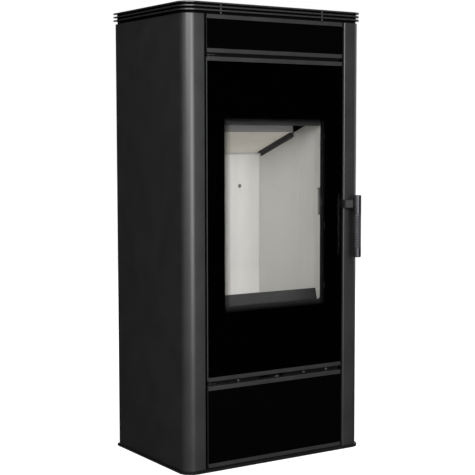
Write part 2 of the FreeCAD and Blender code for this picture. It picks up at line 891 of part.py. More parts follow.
def door_frame():
    frame = front_tray(fire_door_z0, fire_door_z1, tray_y1)
    low = window_z0 - inner_opening_play
    high = window_z1 + inner_opening_play
    window = rectangle(-inner_opening_half, inner_opening_half, low, high)
    hook_slot = rectangle(hook_x0 - hook_clearance, hook_x1 + hook_clearance,
                          latch_z - 2 * hook_hub, latch_z + hook_hub + 2 * hook_clearance)
    frame = frame.cut(prism("xz", window, plate_y0, tray_y1))
    frame = frame.cut(prism("xz", hook_slot, plate_y0, tray_y1))
    shaft_hole = rod("yz", hinge_y, latch_z, shaft_radius + shaft_fit, door_half - tray_wall, door_half)
    return pin_holes(frame.cut(shaft_hole), fire_door_z0, fire_door_z1, pin_fit)


def door_trim(z0, z1, at_top):
    return pin_holes(front_trim(z0, z1, tray_y1, at_top), z0, z1, trim_hole_play)


def door_enamel_border():
    low = fire_door_z0 + trim_sheet + glass_play
    high = fire_door_z1 - trim_sheet - glass_play
    sheet = box(-door_half, door_half, glass_y1, enamel_y1, low, high)
    return sheet.cut(box(-window_half, window_half, glass_y1, enamel_y1, window_z0, window_z1))


def door_inner_glass():
    low = window_z0 - inner_opening_play - pane_lap
    high = window_z1 + inner_opening_play + pane_lap
    return box(-pane_half, pane_half, plate_y0 - glass_thickness, plate_y0, low, high)


def door_glass_clips():
    # Stepped clips on the back plate, each with a tongue over the inner pane's edge.
    step_x = pane_half + glass_play
    pane_y0 = plate_y0 - glass_thickness
    path = [
        (pane_half - clip_lap, pane_y0),
        (step_x, pane_y0),
        (step_x, plate_y0),
        (step_x + clip_foot, plate_y0),
    ]
    clips = []
    for share in clip_places:
        z = window_z0 + share * (window_z1 - window_z0)
        clip = bent_sheet("xy", path[::-1], clip_sheet, z - clip_width / 2, z + clip_width / 2)
        clips += [clip, mirrored(clip)]
    return Part.makeCompound(clips)


def door_rope_seal():
    x = door_half - rope_inset
    z0 = fire_door_z0 + rope_bottom
    z1 = window_z1 + rope_top
    half = rope_width / 2
    y1 = frame_y0 - rope_gap
    outside = rectangle(-x - half, x + half, z0 - half, z1 + half, rope_corner + half)
    inside = rectangle(half - x, x - half, z0 + half, z1 - half, rope_corner - half)
    return prism("xz", outside, tray_y1, y1).cut(prism("xz", inside, tray_y1, y1))


def latch_bearing():
    x = door_half - bearing_inset
    block = box(x - bearing_width / 2, x + bearing_width / 2, enamel_y1 + hook_gap, plate_y0,
                latch_z - bearing_height / 2, latch_z + bearing_height / 2)
    return block.cut(rod("yz", hinge_y, latch_z, shaft_radius + shaft_fit,
                         x - bearing_width / 2, x + bearing_width / 2))


def arm_x0():
    return door_half + (side_gap - arm_thickness) / 2


def latch_shaft():
    return rod("yz", hinge_y, latch_z, shaft_radius, hook_x0, arm_x0() + arm_thickness)


def latch_hook():
    nose_y = frame_y1 + keeper_pin_setback + keeper_pin_radius + hook_gap
    end_y = nose_y + hook_nose
    low = latch_z - hook_lower
    high = latch_z + hook_upper
    edge = [
        (hinge_y, low),
        (end_y, low, hook_nose / 2),
        (end_y, latch_z + hook_nose_height),
        (nose_y, latch_z + hook_nose_height),
        (nose_y, high),
        (hinge_y, high),
    ]
    hook = prism("yz", edge, hook_x0, hook_x1)
    hook = hook.fuse(rod("yz", hinge_y, latch_z, hook_hub, hook_x0, hook_x1)).removeSplitter()
    return hook.cut(rod("yz", hinge_y, latch_z, shaft_radius + weld_fit, hook_x0, hook_x1))


def handle_axis():
    return door_half + handle_offset, front_y - handle_reach


def handle_arm():
    # Strap in the gap beside the door, bent outwards to the handle.
    x0 = arm_x0()
    low = latch_z - arm_height / 2
    high = latch_z + arm_height / 2
    handle_x, handle_y = handle_axis()
    path = [
        (x0, hinge_y),
        (x0, front_y - arm_bend_setback, arm_bend),
        (handle_x, handle_y),
    ]
    strap = bent_sheet("xy", path, arm_thickness, low, high)
    strap = strap.fuse(rod("yz", hinge_y, latch_z, arm_height / 2, x0, x0 + arm_thickness))
    strap = strap.removeSplitter()
    strap = strap.cut(rod("xy", handle_x, handle_y, handle_radius + weld_fit, low, high))
    return strap.cut(rod("yz", hinge_y, latch_z, shaft_radius + weld_fit, x0, x0 + arm_thickness))


def knurled_grip(x, y, z0, root):
    # Rings of flat facets, each with its crest half way up.
    pitch = knurl_length / knurl_rings
    levels = [(z0, root)]
    for i in range(knurl_rings):
        z = z0 + i * pitch
        levels += [(z + pitch / 2, handle_radius), (z + pitch, root)]
    turns = [2 * math.pi * i / knurl_sides for i in range(knurl_sides)]
    rings = [[Vector(x + radius * math.cos(a), y + radius * math.sin(a), z) for a in turns]
             for z, radius in levels]
    corners = [rings[0], rings[-1]]
    for low, high in zip(rings, rings[1:]):
        corners += [[low[i - 1], low[i], high[i], high[i - 1]] for i in range(knurl_sides)]
    faces = [Part.Face(Part.makePolygon(c + c[:1])) for c in corners]
    return Part.makeSolid(Part.makeShell(faces))


def handle_bar():
    # Turned bar: chamfered ends and a grip of rings between them.
    handle_x, handle_y = handle_axis()
    z1 = latch_z + handle_above
    z0 = z1 - handle_length
    grip_z0 = latch_z - knurl_below
    grip_z1 = grip_z0 + knurl_length
    root = handle_radius - knurl_depth
    edge = handle_radius - handle_edge
    lower = [(0, z0), (edge, z0), (handle_radius, z0 + handle_edge), (handle_radius, grip_z0), (0, grip_z0)]
    upper = [(0, grip_z1), (handle_radius, grip_z1), (handle_radius, z1 - handle_edge), (edge, z1), (0, z1)]
    bar = turned(lower, handle_x, handle_y).fuse(turned(upper, handle_x, handle_y))
    return bar.fuse(knurled_grip(handle_x, handle_y, grip_z0, root))


def magnet_span():
    x = door_half - magnet_inset
    z = (lower_door_z0 + lower_door_z1) / 2
    return (x - magnet_width / 2, x + magnet_width / 2), (z - magnet_height / 2, z + magnet_height / 2)


def magnet_catch():
    (x0, x1), (z0, z1) = magnet_span()
    return box(x0, x1, tray_y1 + strike_thickness + magnet_gap, frame_y0, z0, z1)


def strike_plate():
    (x0, x1), (z0, z1) = magnet_span()
    return box(x0, x1, tray_y1, tray_y1 + strike_thickness, z0, z1)


def lower_door_frame():
    frame = front_tray(lower_door_z0, lower_door_z1, tray_y1)
    return pin_holes(frame, lower_door_z0, lower_door_z1, pin_fit)


def lower_door_trims():
    z0, z1 = lower_door_z0, lower_door_z1
    return Part.makeCompound([door_trim(z0, z1, False), door_trim(z0, z1, True)])


def upper_panel_frame():
    return front_tray(upper_panel_z0, casing_z1, frame_y0)


def upper_panel_trims():
    z0, z1 = upper_panel_z0, casing_z1
    return Part.makeCompound([front_trim(z0, z1, frame_y0, False), front_trim(z0, z1, frame_y0, True)])


def slide_levels():
    z1 = shell_z0 - slide_drop
    return z1 - slide_sheet, z1


def air_slide():
    z0, z1 = slide_levels()
    y0 = frame_y0 + slide_setback
    plate = box(-slide_half, slide_half, y0, y0 + slide_width, z0, z1)
    ports = [air_port(side * port_x + slide_travel, z0, z1) for side in (-1, 1)]
    return cut_all(plate, ports)


def air_guides():
    # Two stepped rails under the shell that carry the slide by its front and rear edges.
    z0, z1 = slide_levels()
    ledge_z = z0 - running_gap
    rails = []
    for side in (-1, 1):
        middle = frame_y0 + slide_setback + slide_width / 2
        web = middle + side * (slide_width / 2 + guide_play)
        outer = web + side * guide_sheet
        inner = web - side * guide_ledge
        low_z = ledge_z - guide_sheet
        rail = box(-guide_half, guide_half, min(web, outer), max(web, outer), low_z, shell_z0)
        ledge = box(-guide_half, guide_half, min(web, inner), max(web, inner), low_z, ledge_z)
        rails.append(rail.fuse(ledge).removeSplitter())
    return Part.makeCompound(rails)


def air_lever():
    # Cranked strip: fixed under the slide, down through the slot and out between the doors.
    z0 = lower_door_z1 + lever_gap
    slide_z0 = slide_levels()[0]
    root_y0 = frame_y0 + slide_setback + guide_ledge + guide_play + lever_sheet
    tip_y = front_y + lever_tip_setback
    path = [
        (tip_y, z0 + lever_tip_height),
        (tip_y, z0, lever_sheet),
        (root_y0, z0, lever_sheet),
        (root_y0, slide_z0 - lever_sheet, lever_sheet),
        (root_y0 + lever_foot, slide_z0 - lever_sheet),
    ]
    return bent_sheet("yz", path, lever_sheet, -lever_width / 2, lever_width / 2)


panel = side_panel()
parts = {
    "base_plate": base_plate(),
    "front_frame": front_frame(),
    "frame_screws": frame_screws(),
    "side_panel_left": mirrored(panel),
    "side_panel_right": panel,
    "rear_cover": rear_cover(),
    "top_deck": top_deck(),
    "top_plate_lower": covered_top_plate(lower_plate_z),
    "top_plate_middle": covered_top_plate(middle_plate_z),
    "top_plate_upper": top_plate_upper(),
    "top_spacer_lower": top_spacer(lower_plate_z + top_sheet),
    "top_spacer_upper": top_spacer(middle_plate_z + top_sheet),
    "top_standoffs": top_standoffs(),
    "compartment_box": compartment_box(),
    "compartment_ceiling": compartment_ceiling(),
    "firebox_shell": firebox_shell(),
    "air_duct": air_duct(),
    "hearth_plate": hearth_plate(),
    "liner_floor": liner_floor(),
    "liner_back": liner_back(),
    "liner_left_front": mirrored(front_board()),
    "liner_left_rear": mirrored(rear_board()),
    "liner_right_front": liner_right_front(),
    "liner_right_rear": rear_board(),
    "baffle_board": baffle_board(),
    "baffle_rails": baffle_rails(),
    "airwash_lintel": airwash_lintel(),
    "log_guard": log_guard(),
    "grate": grate(),
    "ash_pan": ash_pan(),
    "flue_collar": flue_collar(),
    "air_inlet_spigot": air_inlet_spigot(),
    "latch_keeper": latch_keeper(),
    "hinge_brackets": hinge_brackets(),
    "hinge_pins": hinge_pins(),
    "hinge_washers": hinge_washers(),
    "magnet_catch": magnet_catch(),
    "air_guides": air_guides(),
    "upper_panel_frame": upper_panel_frame(),
    "upper_panel_glass": front_glass(upper_panel_z0, casing_z1),
    "upper_panel_trims": upper_panel_trims(),
    "door_frame": door_frame(),
    "door_glass": front_glass(fire_door_z0, fire_door_z1),
    "door_enamel_border": door_enamel_border(),
    "door_inner_glass": door_inner_glass(),
    "door_glass_clips": door_glass_clips(),
    "door_rope_seal": door_rope_seal(),
    "door_trim_top": door_trim(fire_door_z0, fire_door_z1, True),
    "door_trim_bottom": door_trim(fire_door_z0, fire_door_z1, False),
    "latch_bearing": latch_bearing(),
    "latch_shaft": latch_shaft(),
    "latch_hook": latch_hook(),
    "handle_arm": handle_arm(),
    "handle_bar": handle_bar(),
    "lower_door_frame": lower_door_frame(),
    "lower_door_glass": front_glass(lower_door_z0, lower_door_z1),
    "lower_door_trims": lower_door_trims(),
    "strike_plate": strike_plate(),
    "air_slide": air_slide(),
    "air_lever": air_lever(),
}

os.makedirs("parts", exist_ok=True)
for name, shape in parts.items():
    shape.exportStep("parts/" + name + ".step")
    volume = sum(solid.Volume for solid in shape.Solids)
    print(name, len(shape.Solids), shape.isValid(), round(volume / 1000, 2))
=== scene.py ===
import json
import math

import bmesh
import bpy
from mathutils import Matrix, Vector


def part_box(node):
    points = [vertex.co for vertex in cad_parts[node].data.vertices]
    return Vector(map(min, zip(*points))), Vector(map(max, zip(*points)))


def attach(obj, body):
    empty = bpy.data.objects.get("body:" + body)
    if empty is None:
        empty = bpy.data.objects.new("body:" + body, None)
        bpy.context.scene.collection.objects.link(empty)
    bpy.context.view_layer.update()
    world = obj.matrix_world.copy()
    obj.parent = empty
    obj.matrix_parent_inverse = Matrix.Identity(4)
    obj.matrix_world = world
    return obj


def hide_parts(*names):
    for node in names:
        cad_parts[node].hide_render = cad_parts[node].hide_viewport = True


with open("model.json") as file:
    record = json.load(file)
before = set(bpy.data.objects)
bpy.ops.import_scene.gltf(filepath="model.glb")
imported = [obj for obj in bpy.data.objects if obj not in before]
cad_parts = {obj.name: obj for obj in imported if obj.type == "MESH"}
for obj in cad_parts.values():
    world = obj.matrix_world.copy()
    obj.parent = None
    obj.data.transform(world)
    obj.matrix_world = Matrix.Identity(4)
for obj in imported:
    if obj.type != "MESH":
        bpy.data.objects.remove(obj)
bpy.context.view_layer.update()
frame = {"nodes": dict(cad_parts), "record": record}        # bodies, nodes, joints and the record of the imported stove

scene = bpy.context.scene
scene.view_settings.view_transform = "Standard"
scene.cycles.transparent_max_bounces = 24        # two panes and the print lie behind each other
bodyOf = {node: body for body, names in frame["record"]["behaviour"]["bodies"].items() for node in names}
slotOf = {part["node"]: part["material_slot"] for part in frame["record"]["subparts"]}
print("frame loaded,", len(bodyOf), "nodes")


# camera, solved from the casing edges in the photograph
view = {"place": (-1.6513, -2.5324, 0.7800), "turn": (85.423, 0.105, -33.066), "lens": 90.31, "sensor": 36.0,
        "clip": (0.05, 100.0)}

bpy.ops.object.camera_add(location=view["place"], rotation=[math.radians(a) for a in view["turn"]])
camera = bpy.context.object
camera.name = "photoCamera"
camera.data.lens = view["lens"]
camera.data.sensor_width = view["sensor"]
camera.data.clip_start, camera.data.clip_end = view["clip"]
scene.camera = camera
print("camera placed")


def linear(hexColour):
    def part(value):
        return value / 12.92 if value <= 0.04045 else ((value + 0.055) / 1.055) ** 2.4
    return tuple(part(int(hexColour[i:i + 2], 16) / 255) for i in (1, 3, 5)) + (1.0,)


def addNode(tree, kind, sockets=None, **settings):
    node = tree.nodes.new("ShaderNode" + kind)
    for key, value in settings.items():
        setattr(node, key, value)
    for name, value in (sockets or {}).items():
        if isinstance(value, bpy.types.Node):        # a node stands for its first output
            value = value.outputs[0]
        if isinstance(value, bpy.types.NodeSocket):
            tree.links.new(value, node.inputs[name])
        else:
            node.inputs[name].default_value = value
    return node


def newMaterial(name):
    material = bpy.data.materials.new(name)
    material.use_nodes = True
    material.node_tree.nodes.clear()
    return material, material.node_tree


def deselectAll():
    bpy.ops.object.select_all(action="DESELECT")


# studio: white behind everything, soft lamps in front, on the left and behind,
# and black cards that only reflections see
studio = {
    "ambient": 0.10,
    "lamps": [
        {"name": "frontPanel", "place": (-0.43, -3.30, 1.15), "aim": (0.0, -0.17, 1.15),
         "size": (1.5, 2.2), "power": 95.0},
        {"name": "leftSoftbox", "place": (-2.45, -2.60, 2.05), "aim": (0.0, 0.0, 1.1),
         "size": (1.9, 1.5), "power": 90.0},
        {"name": "rearSoftbox", "place": (1.9, 2.4, 2.3), "aim": (0.0, 0.1, 0.7),
         "size": (1.4, 1.4), "power": 60.0},
    ],
    "cards": [
        {"name": "cardFrontRight", "place": (2.3, -2.7, 1.8), "size": (4.4, 3.6), "turn": (90, 0, 40)},
        {"name": "cardRearLeft", "place": (-2.4, 2.4, 1.8), "size": (6.0, 3.6), "turn": (90, 0, 45)},
        {"name": "cardFloor", "place": (0.0, 0.0, 0.003), "size": (9.0, 9.0), "turn": (0, 0, 0)},
    ],
    "cardColour": "#060606",
    "floorSize": (40.0, 40.0),
    "floorColour": "#bcbcbc",
    "floorGlow": (0.88, 1.0),        # under the stove and away from it
    "floorReach": (0.4, 1.6),        # the glow rises between these distances from the middle
}


def addStagePlane(name, place, size, turn):
    deselectAll()
    bpy.ops.mesh.primitive_plane_add(size=1, location=place, rotation=[math.radians(a) for a in turn])
    plane = bpy.context.object
    plane.name = name
    plane.scale = (size[0], size[1], 1)
    bpy.ops.object.transform_apply(location=True, rotation=True, scale=True)
    return plane


def backgroundRays(tree):        # 1 for the rays that meet a white background
    path = addNode(tree, "LightPath")
    seen = addNode(tree, "Math", {0: path.outputs["Is Camera Ray"], 1: path.outputs["Is Glossy Ray"]},
                   operation="MAXIMUM")
    return addNode(tree, "Math", {0: seen, 1: path.outputs["Is Transmission Ray"]}, operation="MAXIMUM")


def buildWorld():
    world = bpy.data.worlds.new("whiteStudio")
    world.use_nodes = True
    scene.world = world
    tree = world.node_tree
    tree.nodes.clear()
    soft = addNode(tree, "Background", {"Color": (1, 1, 1, 1), "Strength": studio["ambient"]})
    white = addNode(tree, "Background", {"Color": (1, 1, 1, 1), "Strength": 1.0})
    mix = addNode(tree, "MixShader", {0: backgroundRays(tree), 1: soft, 2: white})
    addNode(tree, "OutputWorld", {"Surface": mix})


def buildLamps():
    for lamp in studio["lamps"]:
        aim = Vector(lamp["aim"]) - Vector(lamp["place"])
        bpy.ops.object.light_add(type="AREA", location=lamp["place"],
                                 rotation=aim.to_track_quat("-Z", "Y").to_euler())
        light = bpy.context.object
        light.name = lamp["name"]
        light.data.shape = "RECTANGLE"
        light.data.size, light.data.size_y = lamp["size"]
        light.data.energy = lamp["power"]
        light.visible_camera = False


def buildFloor():        # pale paper that glows towards white away from the stove
    floor = addStagePlane("studioFloor", (0, 0, 0), studio["floorSize"], (0, 0, 0))
    material, tree = newMaterial("palePaperFloor")
    paper = addNode(tree, "BsdfDiffuse", {"Color": linear(studio["floorColour"])})
    place = addNode(tree, "TexCoord").outputs["Object"]
    away = addNode(tree, "VectorMath", {0: place}, operation="LENGTH").outputs["Value"]
    near, far = studio["floorReach"]
    dim, full = studio["floorGlow"]
    level = addNode(tree, "MapRange", {"Value": away, "From Min": near, "From Max": far,
                                       "To Min": dim, "To Max": full})
    glow = addNode(tree, "Emission", {"Color": (1, 1, 1, 1), "Strength": level})
    lit = addNode(tree, "AddShader", {0: paper, 1: glow})
    mix = addNode(tree, "MixShader", {0: backgroundRays(tree), 1: paper, 2: lit})
    addNode(tree, "OutputMaterial", {"Surface": mix})
    floor.data.materials.append(material)


def buildCards():
    material, tree = newMaterial("blackCard")
    shader = addNode(tree, "BsdfPrincipled", {
        "Base Color": linear(studio["cardColour"]),
        "Roughness": 1.0,
        "Specular IOR Level": 0.0})
    addNode(tree, "OutputMaterial", {"Surface": shader})
    for settings in studio["cards"]:
        card = addStagePlane(settings["name"], settings["place"], settings["size"], settings["turn"])
        card.data.materials.append(material)
        card.visible_camera = card.visible_diffuse = card.visible_shadow = False
        card.visible_transmission = card.visible_volume_scatter = False


buildWorld()
buildLamps()
buildFloor()
buildCards()
print("studio built")


# materials, with patterns at a size in millimetres; a Mix node's colour is its output 2
noiseSpread = {"From Min": 0.3, "From Max": 0.7}        # the part of the noise that runs from dark to light
facingSpread = (0.5, 0.9)        # how much of the normal a face needs to count at all, and to count fully


def facing(tree, axis, sign):        # how far a face looks along an axis, from 0 to 1
    normal = addNode(tree, "SeparateXYZ", {0: addNode(tree, "TexCoord").outputs["Normal"]})
    start, full = facingSpread
    return addNode(tree, "MapRange", {"Value": normal.outputs[axis], "From Min": sign * start,
                                      "From Max": sign * full})


def addShadeAndTone(tree, place, colour, stains):        # each band of tone, painted light and painted shade thickens along one axis
    for band in stains:
        along = addNode(tree, "SeparateXYZ", {0: place}).outputs[band["axis"]]
        amount = addNode(tree, "MapRange", {"Value": along, "From Min": band["from"],
                                            "From Max": band["to"]})
        colour = addNode(tree, "Mix", {0: amount, 6: colour, 7: linear(band["colour"])}, data_type="RGBA",
                         blend_type=band.get("blend", "MIX")).outputs[2]
    return colour


# stove paint sprayed on steel: an even satin, faintly clouded, its grain drawn coarser than real to show
casingFinish = {"dark": "#262627", "light": "#2b2b2c", "rough": (0.35, 0.38), "grainMm": 0.8, "cloudMm": 60,
                "reliefMm": 0.03, "shine": 0.5}
# top plates: the casing paint, their undersides near-black as painted shade
plateFinish = {**casingFinish, "shine": 0.42, "under": "#070708", "topRough": 0.62}
# black stove paint: darker and duller, with the same grain
blackFinish = {"dark": "#101011", "light": "#171718", "rough": (0.46, 0.56), "grainMm": 0.8, "cloudMm": 50,
               "reliefMm": 0.03, "shine": 0.4}
armFinish = {**blackFinish, "shine": 0.28}
baseFinish = {**blackFinish, "dark": "#0b0b0c", "light": "#111112", "shine": 0.12}
# black paint in gaps and recesses, drawn near-black and with hardly a gleam as painted shade
recessShadeFinish = {"dark": "#040404", "light": "#070708", "rough": (0.60, 0.72), "grainMm": 0.9, "cloudMm": 40,
                "reliefMm": 0.03, "shine": 0.02}
# heatproof paint round the fire: dark grey and uneven
innerFinish = {"dark": "#2e2e2f", "light": "#393939", "rough": (0.52, 0.66), "grainMm": 1.1, "cloudMm": 35,
               "reliefMm": 0.05, "shine": 0.5}
# the log guard grows darker towards the latch side
latchSideDarkening = {"colour": "#111111", "axis": "X", "from": 0.040, "to": 0.150}
guardFinish = {**innerFinish, "stains": [latchSideDarkening]}
# moulded plastic housing: smooth, plain black, built up like the paints
magnetFinish = {"dark": "#141415", "light": "#1b1b1c", "rough": (0.45, 0.55), "grainMm": 0.5, "cloudMm": 12,
                "reliefMm": 0.02, "shine": 0.5}


def sprayedPaint(name, finish):
    material, tree = newMaterial(name)
    place = addNode(tree, "TexCoord").outputs["Object"]
    fine = addNode(tree, "TexNoise", {"Vector": place, "Scale": 1000 / finish["grainMm"], "Detail": 3.0})
    cloud = addNode(tree, "TexNoise", {"Vector": place, "Scale": 1000 / finish["cloudMm"], "Detail": 4.0})
    patches = addNode(tree, "MapRange", {"Value": cloud, **noiseSpread})
    colour = addNode(tree, "Mix", {0: patches, 6: linear(finish["dark"]), 7: linear(finish["light"])},
                     data_type="RGBA").outputs[2]
    colour = addShadeAndTone(tree, place, colour, finish.get("stains", []))
    low, high = finish["rough"]
    rough = addNode(tree, "MapRange", {"Value": patches, "To Min": low, "To Max": high})
    if "under" in finish:        # undersides are near-black as painted shade, the hot upper face is chalky
        colour = addNode(tree, "Mix", {0: facing(tree, "Z", -1), 6: colour, 7: linear(finish["under"])},
                         data_type="RGBA").outputs[2]
        rough = addNode(tree, "MapRange", {"Value": facing(tree, "Z", 1), "To Min": rough,
                                           "To Max": finish["topRough"]})
    relief = addNode(tree, "Bump", {"Height": fine, "Distance": finish["reliefMm"] / 1000, "Strength": 0.5})
    shader = addNode(tree, "BsdfPrincipled", {
        "Base Color": colour,
        "Roughness": rough,
        "Specular IOR Level": finish["shine"],
        "Normal": relief})
    addNode(tree, "OutputMaterial", {"Surface": shader})
    return material


# black stove paint on the frames behind the doors, near-black as painted shade of the recesses, greyed by heat inside
# the line of the rope seal
sealHeat = {"halfWidth": 0.1675, "low": 0.2265, "high": 0.8585, "corner": 0.014, "soft": 0.002,
            "dark": "#272728", "light": "#303030", "rough": (0.60, 0.72), "shine": 0.15}


def heatGreyedPaint(name, heat):
    material, tree = newMaterial(name)
    place = addNode(tree, "TexCoord").outputs["Object"]
    middle, half = (heat["low"] + heat["high"]) / 2, (heat["high"] - heat["low"]) / 2
    corner = heat["corner"]
    core = (heat["halfWidth"] - corner, 1.0, half - corner)        # 1 m in Y takes in the whole depth
    offset = addNode(tree, "VectorMath", {0: place, 1: (0, 0, middle)}, operation="SUBTRACT")
    away = addNode(tree, "VectorMath", {0: offset}, operation="ABSOLUTE")
    beyond = addNode(tree, "VectorMath", {0: away, 1: core}, operation="SUBTRACT")
    outside = addNode(tree, "VectorMath", {0: beyond, 1: (0, 0, 0)}, operation="MAXIMUM")
    reach = addNode(tree, "VectorMath", {0: outside}, operation="LENGTH").outputs["Value"]
    greyed = addNode(tree, "MapRange", {"Value": reach, "From Min": corner,
                                        "From Max": corner - heat["soft"]})
    grainScale, cloudScale = 1000 / innerFinish["grainMm"], 1000 / innerFinish["cloudMm"]
    fine = addNode(tree, "TexNoise", {"Vector": place, "Scale": grainScale, "Detail": 3.0})
    cloud = addNode(tree, "TexNoise", {"Vector": place, "Scale": cloudScale, "Detail": 4.0})
    patches = addNode(tree, "MapRange", {"Value": cloud, **noiseSpread})
    # outside the seal line the colour is the near-black painted shade of the recesses
    black, grey = [addNode(tree, "Mix", {0: patches, 6: linear(tone["dark"]), 7: linear(tone["light"])},
                           data_type="RGBA").outputs[2] for tone in (recessShadeFinish, heat)]
    colour = addNode(tree, "Mix", {0: greyed, 6: black, 7: grey}, data_type="RGBA").outputs[2]
    low, high = heat["rough"]
    rough = addNode(tree, "MapRange", {"Value": patches, "To Min": low, "To Max": high})
    relief = addNode(tree, "Bump", {"Height": fine, "Distance": innerFinish["reliefMm"] / 1000,
                                    "Strength": 0.5})
    shader = addNode(tree, "BsdfPrincipled", {
        "Base Color": colour,
        "Roughness": rough,
        "Specular IOR Level": heat["shine"],
        "Normal": relief})
    addNode(tree, "OutputMaterial", {"Surface": shader})
    return material


# raw cast iron: a dull, dark grey skin with the grit of its sand mould
ironFinish = {"dark": "#262524", "light": "#343230", "rough": (0.55, 0.75), "metallic": 0.35, "grainMm": 1.6,
              "pitMm": 5.0, "reliefMm": 0.25}


def roughCasting(name, finish):
    material, tree = newMaterial(name)
    place = addNode(tree, "TexCoord").outputs["Object"]
    fine = addNode(tree, "TexNoise", {"Vector": place, "Scale": 1000 / finish["grainMm"], "Detail": 4.0})
    pits = addNode(tree, "TexNoise", {"Vector": place, "Scale": 1000 / finish["pitMm"], "Detail": 3.0})
    patches = addNode(tree, "MapRange", {"Value": pits, **noiseSpread})
    colour = addNode(tree, "Mix", {0: patches, 6: linear(finish["dark"]), 7: linear(finish["light"])},
                     data_type="RGBA").outputs[2]
    low, high = finish["rough"]
    rough = addNode(tree, "MapRange", {"Value": fine, **noiseSpread, "To Min": low, "To Max": high})
    relief = addNode(tree, "Bump", {"Height": fine, "Distance": finish["reliefMm"] / 1000, "Strength": 0.6})
    shader = addNode(tree, "BsdfPrincipled", {
        "Base Color": colour,
        "Metallic": finish["metallic"],
        "Roughness": rough,
        "Normal": relief})
    addNode(tree, "OutputMaterial", {"Surface": shader})
    return material


alongX, alongZ = (0.03, 1, 1), (1, 1, 0.03)        # streaks are drawn out along one axis
# zinc-plated steel: light grey with fine streaks, drawn coarser than real to show
zincFinish = {"dark": "#8b8d8e", "light": "#a6a8a8", "rough": (0.30, 0.44), "streakMm": 1.2, "cloudMm": 9,
              "drawn": alongZ, "reliefMm": 0.01}
# rolled mild steel sheet: a duller, middle grey, streaked along the roll
sheetFinish = {**zincFinish, "dark": "#6c6d6d", "light": "#828383", "rough": (0.38, 0.52),
               "streakMm": 1.0, "cloudMm": 25, "drawn": alongX}
# gunmetal bar: a dark grey satin
gunmetalFinish = {**zincFinish, "dark": "#3c3c3f", "light": "#49494c", "rough": (0.36, 0.44),
                  "streakMm": 0.7, "cloudMm": 14}
# blackened steel: nearly black, with a dull shine
blackenedFinish = {**zincFinish, "dark": "#29292a", "light": "#3a3a3b", "rough": (0.42, 0.54),
                   "streakMm": 0.8, "cloudMm": 6}


def bareMetal(name, finish):
    material, tree = newMaterial(name)
    place = addNode(tree, "TexCoord").outputs["Object"]
    drawn = addNode(tree, "Mapping", {"Vector": place, "Scale": finish["drawn"]})
    streaks = addNode(tree, "TexNoise", {"Vector": drawn, "Scale": 1000 / finish["streakMm"], "Detail": 2.0})
    cloud = addNode(tree, "TexNoise", {"Vector": place, "Scale": 1000 / finish["cloudMm"], "Detail": 3.0})
    patches = addNode(tree, "MapRange", {"Value": cloud, **noiseSpread})
    colour = addNode(tree, "Mix", {0: patches, 6: linear(finish["dark"]), 7: linear(finish["light"])},
                     data_type="RGBA").outputs[2]
    low, high = finish["rough"]
    rough = addNode(tree, "MapRange", {"Value": streaks, **noiseSpread, "To Min": low, "To Max": high})
    relief = addNode(tree, "Bump", {"Height": streaks, "Distance": finish["reliefMm"] / 1000,
                                    "Strength": 0.3})
    shader = addNode(tree, "BsdfPrincipled", {
        "Base Color": colour,
        "Metallic": 1.0,
        "Roughness": rough,
        "Normal": relief})
    addNode(tree, "OutputMaterial", {"Surface": shader})
    return material


# printed glass: deep black and mirror-like, with faint smears
blackGlassFinish = {"colour": "#030303", "rough": (0.03, 0.06), "smearMm": 70, "edge": "#2b2c2c"}
# glass ceramic: clear, with a sharp reflection on its face
clearGlassFinish = {"tint": "#fefefe", "ior": 1.5, "rough": 0.02, "edge": "#4d504f"}
paneEdge = {"leastY": 0.5, "rough": 0.6}        # a face whose normal has less Y than this is an edge


def groundEdge(tree, pane, colour):        # the narrow sides of a pane are ground, not polished
    normal = addNode(tree, "SeparateXYZ", {0: addNode(tree, "TexCoord").outputs["Normal"]})
    faceOn = addNode(tree, "Math", {0: normal.outputs["Y"]}, operation="ABSOLUTE")
    narrow = addNode(tree, "Math", {0: faceOn, 1: paneEdge["leastY"]}, operation="LESS_THAN")
    inside = addNode(tree, "NewGeometry").outputs["Backfacing"]
    shown = addNode(tree, "Math", {0: narrow, 1: inside}, operation="SUBTRACT", use_clamp=True)
    ground = addNode(tree, "BsdfDiffuse", {"Color": linear(colour), "Roughness": paneEdge["rough"]})
    return addNode(tree, "MixShader", {0: shown, 1: pane, 2: ground})


def blackGlassPane(name, finish):
    material, tree = newMaterial(name)
    place = addNode(tree, "TexCoord").outputs["Object"]
    smear = addNode(tree, "TexNoise", {"Vector": place, "Scale": 1000 / finish["smearMm"], "Detail": 3.0})
    low, high = finish["rough"]
    rough = addNode(tree, "MapRange", {"Value": smear, **noiseSpread, "To Min": low, "To Max": high})
    shader = addNode(tree, "BsdfPrincipled", {
        "Base Color": linear(finish["colour"]),
        "Roughness": rough})
    addNode(tree, "OutputMaterial", {"Surface": groundEdge(tree, shader, finish["edge"])})
    return material


def clearPane(name, finish):
    material, tree = newMaterial(name)
    back = addNode(tree, "NewGeometry").outputs["Backfacing"]
    front = addNode(tree, "Math", {0: 1.0, 1: back}, operation="SUBTRACT")
    fresnel = addNode(tree, "Fresnel", {"IOR": finish["ior"]})
    shine = addNode(tree, "Math", {0: fresnel, 1: front}, operation="MULTIPLY")
    clear = addNode(tree, "BsdfTransparent", {"Color": linear(finish["tint"])})
    gloss = addNode(tree, "BsdfGlossy", {"Color": (1, 1, 1, 1), "Roughness": finish["rough"]})
    mix = addNode(tree, "MixShader", {0: shine, 1: clear, 2: gloss})
    addNode(tree, "OutputMaterial", {"Surface": groundEdge(tree, mix, finish["edge"])})
    return material


